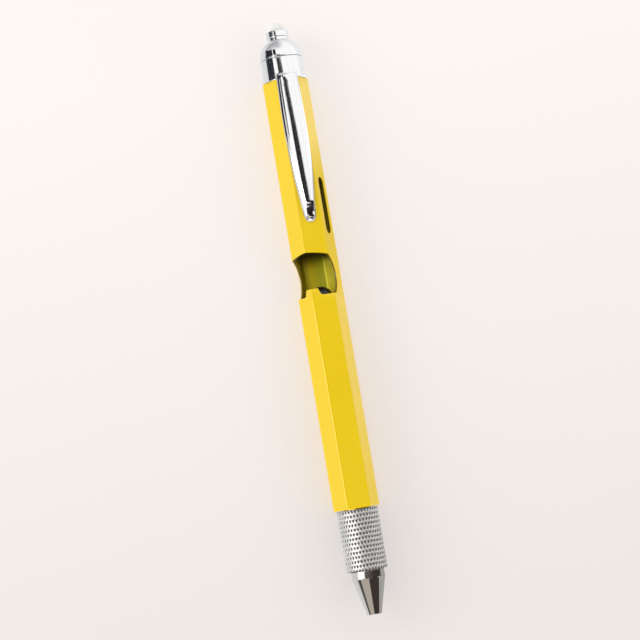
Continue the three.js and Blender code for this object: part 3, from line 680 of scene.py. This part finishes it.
def brightKnurl():
    # bright nickel plate on the crests of the knurl, painted darker in the pits between them as shade
    material = turnedMetal("brightNickelKnurl", knurl["crestColour"], 0.3, 0.3, 0.004)
    tree = material.node_tree
    place = tree.nodes["Texture Coordinate"].outputs["Object"]
    point = addNode(tree, "VectorMath", {0: place, 1: (0, 0, axisHeight)}, operation="SUBTRACT")
    across = addNode(tree, "VectorMath", {0: point, 1: (0, 1, 1)}, operation="MULTIPLY")
    radius = addNode(tree, "VectorMath", {0: across}, operation="LENGTH")
    crest = addNode(tree, "MapRange", {
        "Value": radius, "From Min": (knurl["peak"] - knurl["shadeBelow"]) * millimetre,
        "From Max": (knurl["peak"] - knurl["shadeEndsAbove"]) * millimetre})
    # pits painted darker than the crests, as shade
    colour = addNode(tree, "Mix", {
        0: crest, 6: knurl["pitShade"], 7: knurl["crestColour"]}, data_type="RGBA")
    tree.links.new(colour.outputs[2], tree.nodes["Principled BSDF"].inputs["Base Color"])
    return material


def makeGrip():
    # a cylinder with rows of steep pits, each with a soft fall round it; every other row is half a pitch on
    start, end = stationsOf("knurled_grip")
    peak, spacing = knurl["peak"], knurl["rowSpacing"]
    rows = int(round((end - start) / spacing * knurl["perPit"])) + 1
    stations = np.linspace(start, end, rows)[:, None]
    turn = np.linspace(0, 2 * np.pi, knurl["around"] * knurl["perPit"], endpoint=False)[None, :]
    # along and around are shares of a pitch from the nearest pit's middle
    row = np.round((stations - start - knurl["firstRow"]) / spacing)
    along = (stations - start - knurl["firstRow"]) / spacing - row
    around = (turn * knurl["around"] / (2 * np.pi) - knurl["firstTurn"] + 0.5 * (row % 2)) % 1 - 0.5
    pitch = 2 * np.pi * peak / knurl["around"]
    distance = ((along * spacing / knurl["pitHalfLength"]) ** 2
                + (around * pitch / knurl["pitHalfWidth"]) ** 2)
    pit = np.clip(knurl["pitFloor"] - distance ** knurl["pitSteepness"], 0, 1)
    radius = peak - knurl["depth"] * pit - knurl["rimFall"] * np.exp(-distance / knurl["rimSpread"])
    toEnd = np.clip(np.minimum(stations - start, end - stations) / knurl["endRound"], 0, 1)
    radius = np.minimum(radius, peak - knurl["endRound"] * (1 - np.sqrt(1 - (1 - toEnd) ** 2)))
    # the bore is two more rows, from the far end back to the first
    stations = np.vstack([stations, [[end], [start]]])
    radius = np.vstack([radius, np.full((2, turn.size), knurl["bore"])])
    grid = gridOf(stations, radius * np.cos(turn), radius * np.sin(turn))
    addPiece("knurledGripSleeve", meshFromGrid(grid),
             "grip", "knurled_grip", brightKnurl(), 60)


makeGrip()
print("grip made")


# Nose cone, with a wide bore that narrows to the tip
nose = {"shank": 3.3, "collarStart": 138.0, "collar": 4.2, "coneStart": 139.9, "tip": 1.85, "bore": 1.42,
        "wideBore": 2.2, "wideEnd": 138.5, "boreTaper": 1.5}


def makeNose():
    start, end = stationsOf("nose_cone")
    outline = roundedOutline([
        (start, nose["wideBore"], 0.1), (start, nose["shank"], 0.25),
        (nose["collarStart"], nose["shank"], 0.05), (nose["collarStart"], nose["collar"], 0.12),
        (nose["coneStart"], nose["collar"], 0.1), (end, nose["tip"], 0.16), (end, nose["bore"], 0.12),
        (nose["wideEnd"] + nose["boreTaper"], nose["bore"], 0.3), (nose["wideEnd"], nose["wideBore"], 0.3)])
    addPiece("noseConeTurned", turnedMesh(outline), "nose", "nose_cone", noseMetal)


# Refill: where its plug ends and its neck starts and ends is counted from the start of its point
refill = {"tube": 1.175, "plug": 2.2, "neckStart": 3.0, "neck": 0.85, "neckEnd": 5.6, "tipLength": 1.3,
          "tip": 0.5, "seatWall": 0.03, "ballRadius": 0.35, "ballStation": 147.15}


def makeRefill():
    start, end = stationsOf("refill_tube")
    tube = roundedOutline([
        (start, 0, 0), (start, refill["tube"], 0.1), (end, refill["tube"], 0.05), (end, 0, 0)])
    addPiece("refillInkTube", turnedMesh(tube, 64), "refill", "refill_tube", refillMetal)
    start, end = stationsOf("refill_point")
    point = roundedOutline([
        (start, 0, 0), (start, refill["tube"], 0.08), (start + refill["plug"], refill["tube"], 0.2),
        (start + refill["neckStart"], refill["neck"], 0.2), (start + refill["neckEnd"], refill["neck"], 0.5),
        (end - refill["tipLength"], refill["tip"], 0.3),
        (end, refill["ballRadius"] + refill["seatWall"], 0.06), (end, 0, 0)])
    addPiece("refillWritingPoint", turnedMesh(point, 64),
             "refill", "refill_point", refillMetal)
    seat = stationsOf("writing_ball")[0]
    first = math.degrees(math.acos((refill["ballStation"] - seat) / refill["ballRadius"]))
    ball = np.vstack([[[seat, 0]], arcOutline(refill["ballStation"], refill["ballRadius"], first, 180, 20)])
    addPiece("writingBallPolished", turnedMesh(ball, 48),
             "refill", "writing_ball", ballCarbide)


makeNose()
makeRefill()
print("nose and refill made")


# The inner CAD nodes stay and get their real finishes
nodeFinishes = [
    (lampEpoxy, "led_bulb"), (tinnedWire, "led_positive_leg", "led_negative_leg"),
    (whiteNylon, "led_bush", "contact_carrier", "battery_sleeve", "refill_carrier"),
    (springWire, "switch_spring", "battery_spring", "retaining_ring"),
    (turnedBrass, "contact_pin", "battery_stop", "twist_cam", "grip_core"),
    (nickelCan, "battery_cell_1", "battery_cell_2", "battery_cell_3"),
    (blackAcetal, "grip_bush"), (nitrile, "friction_ring")]
for nodeMaterial, *nodeNames in nodeFinishes:
    for nodeName in nodeNames:
        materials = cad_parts[nodeName].data.materials
        materials.clear()
        materials.append(nodeMaterial)
print("inner pieces finished")


# Studio: pale floor, soft lamps, and a white tent with dark gaps that only reflections see
studio = {
    "floorHalf": 3,                 # metres
    "floorNear": "#f6efeb",
    "floorFar": "#f9f4f1",
    "floorGlow": "#fffaf9",         # the camera sees the lit floor mixed with this, by the share below
    "glowShare": 0.45,
    "glowTop": 1.12,                # at the torch end of the picture, and at the tip
    "glowBottom": 0.86,
    "glowAlong": (10, 150),         # mm, where it goes from the one to the other
    "glossyShare": 0.97,            # how much of the floor polished metal sees as the cards below
    "floorGlossy": "#e4e4e5",
    "seenColour": "#f6f1ee",
    "ambientColour": "#fffdfb",
    "ambientTop": 0.5,              # the tent is dimmer straight above the pen than at its sides
    "ambientSide": 1.1,
    "ambientHeights": (0.55, 0.95),     # of a direction's upward part, where it goes from side to top
    "tentStrength": 1.1,
    "lampColour": (1.0, 0.99, 0.97),
    "lamps": [                      # place and size in metres, power in watts
        {"name": "softKey", "place": (-0.3, -0.75, 0.4), "size": 0.5, "power": 1.6},
        {"name": "softFill", "place": (0.2, 0.7, 0.4), "size": 0.6, "power": 0.3}],
}
# What polished metal sees of the floor: a colour, and its bounds from the torch end of the pen
floorCards = [
    ("#fbfcfd", (acrossPen, -30, 30)),                                      # right half
    ("#b0b0b2", (alongPen, -2, -25), (acrossPen, 15, -12)),                 # beyond the torch, on the left
    ("#2c2f36", ((1, -0.26, 0), -1.5, -1.51), ((1, -0.82, 0), 10, 10.01)),  # dark wedge and strip, far left
    ("#2c2f36", (alongPen, 4, 3.99), (acrossPen, -52, -52.01), ((1, -0.82, 0), 10, 10.01)),
    ("#b4b3b2", (alongPen, 95, 140), (acrossPen, 0, 6)),                    # right of the nose
    ("#b2b3b4", (alongPen, 30, 38), (alongPen, 70, 58), (acrossPen, 4, 8)),  # right of the slot and window
]
# How many times brighter it is there
floorLifts = [
    (1.4, (alongPen, 12, 15), (alongPen, 36, 28), (acrossPen, 2, 6)),       # right of the clip
    (1.1, (alongPen, 130, 145)),                                            # beside the nose
]
# What a glossy ray sees, from the torch end of the pen to its tip. Each row is the ray's lean towards the
# tip (-1 to 1), and the region's first and last angle round the pen, from the photograph's viewpoint;
# softness is the width of its edges, in degrees too
tentRegions = {
    "leftCard": {"colour": "#dadadc", "softness": 6, "edges": [
        (-0.7, -175, -94), (-0.2, -175, -90), (-0.1, -175, -90), (0.03, -175, -80), (1, -175, -80)]},
    "topCard": {"colour": "#b9b9bb", "softness": 1, "sideFade": (0.42, -0.2), "leanFade": (-0.58, -0.98),
     "edges": [(-1, -182, 182), (-0.57, -182, 182), (-0.56, 0, 0)]},
    "lowCard": {"colour": "#bcbcbe", "softness": 40, "edges": [
        (-0.96, -180, -180), (-0.93, -180, -62), (-0.6, -180, -62), (-0.58, -180, -180)]},
    "greyLeft": {"colour": "#ebebeb", "softness": 3, "edges": [
        (-0.2, -75, -75), (-0.198, -86, -48), (-0.187, -82, -50), (-0.16, -72, -49), (-0.135, -71, -49),
        (-0.11, -64, -64)]},
    "darkLeft": {"colour": "#2d3038", "softness": 2, "edges": [
        (-0.7, -53, -53), (-0.64, -79, -51), (-0.585, -110, -49), (-0.41, -95, -44), (-0.25, -92, -43),
        (-0.235, -92, -48.5), (-0.212, -92, -48), (-0.209, -98, -42), (-0.2005, -98, -42),
        (-0.1995, -75, -75)]},
    "outerLine": {"colour": "#1a1c20", "softness": 3, "edges": [
        (-0.2, -93, -93), (-0.199, -98, -76), (-0.19, -91, -72), (-0.183, -87, -69.5), (-0.16, -82, -67.5),
        (-0.148, -80, -66), (-0.132, -78, -68), (-0.122, -74, -74)]},
    "innerLine": {"colour": "#303337", "softness": 3, "edges": [
        (-0.2, -65, -65), (-0.1985, -68, -57), (-0.184, -65, -54), (-0.172, -59.5, -49), (-0.166, -57, -47),
        (-0.153, -55, -45.5), (-0.142, -51, -47), (-0.135, -49, -49)]},
    "paleGap": {"colour": "#ffffff", "softness": 3, "strength": 1.1, "edges": [
        (-0.71, -50, -50), (-0.7, -53, -48), (-0.41, -44, -40), (-0.25, -43, -39), (-0.235, -47, -28),
        (-0.212, -47, -28), (-0.209, -41, -35), (-0.2, -41, -35), (-0.198, -46, -27), (-0.15, -46, -27),
        (-0.098, -50, -24), (-0.097, -40, -40)]},
    "brightGap": {"colour": "#ffffff", "softness": 20, "strength": 8.5, "edges": [
        (-0.098, -24, -80), (-0.097, -68, -20), (0.008, -68, -20), (0.013, -24, -80)]},
    "noseGap": {"colour": "#ffffff", "softness": 3, "strength": 1.5, "edges": [
        (0.007, -40, -40), (0.012, -78, -24), (0.016, -68, -24), (0.2, -68, -24), (0.3, -40, -40)]},
    "edgeTan": {"colour": "#b9ab86", "softness": 8, "edges": [
        (-0.136, -90, -110), (-0.13, -115, -80), (-0.12, -115, -76), (-0.015, -115, -74),
        (-0.01, -90, -110)]},
    "darkRight": {"colour": "#2c2f2c", "softness": 2, "edges": [
        (-0.71, -40, -40), (-0.7, -49, -30), (-0.57, -44.5, -27), (-0.4, -41, -25), (-0.26, -38, -24),
        (-0.235, -26, 0), (-0.212, -26, 0), (-0.209, -34, -16), (-0.2, -34, -15), (-0.195, -34, -10),
        (-0.17, -34, -6), (-0.1635, -30, -1.5), (-0.159, -26, 4), (-0.1545, -23.5, 8.5),
        (-0.1495, -20.5, 11.5), (-0.1435, -19, 14.5), (-0.139, -19, 18), (-0.1335, -19, 20.5),
        (-0.1225, -19.5, 23.5), (-0.117, -19.5, 27), (-0.111, -19.5, 32.5), (-0.1035, -22, 39),
        (-0.098, -24, 46), (-0.06, -16, 75), (-0.008, -8, 80), (-0.003, 30, 30)]},
    "knurlCard": {"colour": "#1c1c1b", "softness": 30, "edges": [
        (-0.075, 125, 25), (-0.065, 48, 112), (0.012, 42, 112), (0.02, 42, 90), (0.045, 42, 90),
        (0.05, 125, 25), (0.17, 125, 25), (0.19, 48, 112), (0.3, 48, 112), (0.36, 125, 25)]},
    "knurlGap": {"colour": "#ffffff", "softness": 40, "strength": 2.2, "edges": [
        (-0.006, 10, -35), (-0.001, -30, 16), (0.012, -30, 16), (0.016, 10, -35)]},
    "noseSide": {"colour": "#a9a8a6", "softness": 8, "edges": [
        (0.08, 150, 100), (0.1, 140, 175), (0.28, 110, 175), (0.38, 88, 175), (0.6, 86, 175),
        (0.66, 130, 130)]},
    "warmDark": {"colour": "#483f3c", "softness": 2, "edges": [
        (0.012, 30, 30), (0.016, -22, 105), (0.05, -22, 105), (0.054, 60, 60), (0.38, 60, 60), (0.4, 0, 88),
        (0.5, 2, 86), (0.6, 2, 86), (0.66, 44, 44)]},
    "toeDark": {"colour": "#2a2224", "softness": 4, "edges": [
        (0.05, 60, 60), (0.053, 17, 104), (0.058, 17, 106), (0.063, -36, 106), (0.075, -39, 93),
        (0.09, -37, 70), (0.16, -40, 63), (0.35, -40, 80), (0.36, 30, 30)]},
    "tanCard": {"colour": "#ccc1b8", "softness": 4, "edges": [
        (0.2, -25, -25), (0.3, -45, -5), (0.5, -60, 2), (0.6, -60, 2), (0.66, -30, -30)]},
    "greyCard": {"colour": "#5e5f5b", "softness": 6, "edges": [
        (0.2, -60, -60), (0.3, -70, -50), (0.4, -92, -58), (0.6, -92, -58), (0.66, -75, -75)]},
}
leanFocus = {"centre": -0.14, "width": 0.1, "reach": 0.93}     # the curves are finest about this lean


def raysOf(tree):
    # 1 for a ray off polished metal, and 1 for a ray straight from the camera or through clear resin
    rays = addNode(tree, "LightPath").outputs
    direct = addNode(tree, "Math", {
        0: rays["Is Camera Ray"], 1: rays["Is Transmission Ray"]}, operation="MAXIMUM")
    return rays["Is Glossy Ray"], direct


def makeFloor():
    # matt white card: soft even diffuse; polished metal sees the cards on it, and the camera sees it a little
    # brighter at the torch end
    corners = np.array([(-1, -1, 0), (1, -1, 0), (1, 1, 0), (-1, 1, 0)], float) * studio["floorHalf"]
    mesh = bpy.data.meshes.new("paleFloor")
    mesh.from_pydata(corners, [], [(0, 1, 2, 3)])
    floor = addObject("paleFloor", mesh)
    material, tree, place = newMaterial("mattWhiteCard")
    mesh.materials.append(material)
    fibre = addNode(tree, "TexNoise", {"Vector": place, "Scale": perMetre(60), "Detail": 2.0})
    colour = addNode(tree, "Mix", {
        0: fibre, 6: studio["floorNear"], 7: studio["floorFar"]}, data_type="RGBA")
    matt = addNode(tree, "BsdfPrincipled", {
        "Base Color": colour, "Roughness": 0.9, "Specular IOR Level": 0.1})
    point = addNode(tree, "VectorMath", {0: place, 1: (penStart, 0, 0)}, operation="SUBTRACT")
    cards = layColours(tree, point, studio["floorGlossy"], floorCards)
    strength = 1.0
    for gain, *bounds in floorLifts:
        lift = addNode(tree, "MapRange", {
            "Value": maskWithin(tree, point, bounds), "To Min": 1.0, "To Max": gain})
        strength = addNode(tree, "Math", {0: strength, 1: lift}, operation="MULTIPLY")
    glossyGlow = addNode(tree, "Emission", {"Color": cards, "Strength": strength})
    fade = addNode(tree, "MapRange", {
        "Value": maskWithin(tree, point, [(alongPen, *studio["glowAlong"])]), "To Min": studio["glowTop"],
        "To Max": studio["glowBottom"]})
    cameraGlow = addNode(tree, "Emission", {"Color": studio["floorGlow"], "Strength": fade})
    reflected, direct = raysOf(tree)
    seen = matt
    for ray, share, glow in ((reflected, studio["glossyShare"], glossyGlow),
                             (direct, studio["glowShare"], cameraGlow)):
        factor = addNode(tree, "Math", {0: ray, 1: share}, operation="MULTIPLY")
        seen = addNode(tree, "MixShader", {0: factor, 1: seen, 2: glow})
    addNode(tree, "OutputMaterial", {"Surface": seen})


def focusedLean(lean):
    # lean about the focus, squeezed to (-1, 1) by offset / (|offset| + width), as a share from 0 to 1
    offset = lean - leanFocus["centre"]
    return offset / (abs(offset) + leanFocus["width"]) / leanFocus["reach"] / 2 + 0.5


def regionMask(tree, angle, leanShare, region):
    # 1 inside the region and 0 outside; its two edges are curves over the lean, in shares of a full turn
    soft = region["softness"] / 360
    sides = []
    for column, sign in ((1, 1), (2, -1)):
        curve = addNode(tree, "FloatCurve", {"Value": leanShare})
        curve.mapping.use_clip = False
        points = curve.mapping.curves[0].points
        rows = [(focusedLean(row[0]), row[column] / 360 + 0.5) for row in region["edges"]]
        rows = [(0.0, rows[0][1]), *rows, (1.0, rows[-1][1])]
        while len(points) < len(rows):
            points.new(0.5, 0.5)
        for point, row in zip(points, rows):
            point.location = row
            point.handle_type = "VECTOR"
        curve.mapping.update()
        past = addNode(tree, "Math", {0: angle, 1: curve}, operation="SUBTRACT")
        sides.append(addNode(tree, "MapRange", {
            "Value": past, "From Min": -sign * soft / 2, "From Max": sign * soft / 2},
            interpolation_type="SMOOTHSTEP"))
    return addNode(tree, "Math", {0: sides[0], 1: sides[1]}, operation="MULTIPLY")


def makeWorld():
    # directions are read in the pen's frame: the angle round the pen, and the lean towards the writing tip
    world = bpy.data.worlds.new("whiteTent")
    bpy.context.scene.world = world
    world.use_nodes = True
    tree = world.node_tree
    tree.nodes.clear()
    direction = addNode(tree, "TexCoord").outputs["Generated"]
    axes = (radial(cameraView["roll"]), radial(cameraView["roll"] + 90), alongPen, (0, 0, 1))
    sideways, facing, lean, upwards = (
        addNode(tree, "VectorMath", {0: direction, 1: axis}, operation="DOT_PRODUCT") for axis in axes)
    turn = addNode(tree, "Math", {0: sideways, 1: facing}, operation="ARCTAN2")
    angle = addNode(tree, "MapRange", {"Value": turn, "From Min": -math.pi, "From Max": math.pi})
    offset = addNode(tree, "Math", {0: lean, 1: leanFocus["centre"]}, operation="SUBTRACT")
    size = addNode(tree, "Math", {0: offset}, operation="ABSOLUTE")
    reach = addNode(tree, "Math", {0: size, 1: leanFocus["width"]}, operation="ADD")
    squeezed = addNode(tree, "Math", {0: offset, 1: reach}, operation="DIVIDE")
    leanShare = addNode(tree, "MapRange", {
        "Value": squeezed, "From Min": -leanFocus["reach"], "From Max": leanFocus["reach"]})
    tent = linearColour("#ffffff", studio["tentStrength"])
    for region in tentRegions.values():
        mask = regionMask(tree, angle, leanShare, region)
        for key, part in (("sideFade", sideways), ("leanFade", lean)):
            if key in region:
                fade = addNode(tree, "MapRange", {
                    "Value": part, "From Min": region[key][0], "From Max": region[key][1]},
                    interpolation_type="SMOOTHSTEP")
                mask = addNode(tree, "Math", {0: mask, 1: fade}, operation="MULTIPLY")
        colour = linearColour(region["colour"], region.get("strength", 1.0))
        tent = addNode(tree, "Mix", {0: mask, 6: tent, 7: colour}, data_type="RGBA")
    above = addNode(tree, "MapRange", {
        "Value": upwards, "From Min": studio["ambientHeights"][0], "From Max": studio["ambientHeights"][1],
        "To Min": studio["ambientSide"], "To Max": studio["ambientTop"]}, interpolation_type="SMOOTHSTEP")
    reflected, direct = raysOf(tree)
    glossy, plain, seen = (
        addNode(tree, "Background", {"Color": colour, "Strength": strength}) for colour, strength in (
            (tent, 1.0), (studio["ambientColour"], above), (studio["seenColour"], 1.0)))
    lit = addNode(tree, "MixShader", {0: reflected, 1: plain, 2: glossy})
    shown = addNode(tree, "MixShader", {0: direct, 1: lit, 2: seen})
    addNode(tree, "OutputWorld", {"Surface": shown})
    # rays find the tent by themselves, so that rough metal sees the gaps too
    world.cycles.sampling_method = "NONE"


def makeLamp(name, place, size, power):
    data = bpy.data.lights.new(name, "AREA")
    data.shape, data.size, data.energy = "DISK", size, power
    data.color = studio["lampColour"]
    lamp = addObject(name, data)
    lamp.location = place
    lamp.rotation_euler = (-Vector(place)).to_track_quat("-Z", "Y").to_euler()
    lamp.visible_glossy = False


makeFloor()
makeWorld()
for lampLook in studio["lamps"]:
    makeLamp(**lampLook)
bpy.context.scene.view_settings.view_transform = "Standard"
print("studio made")
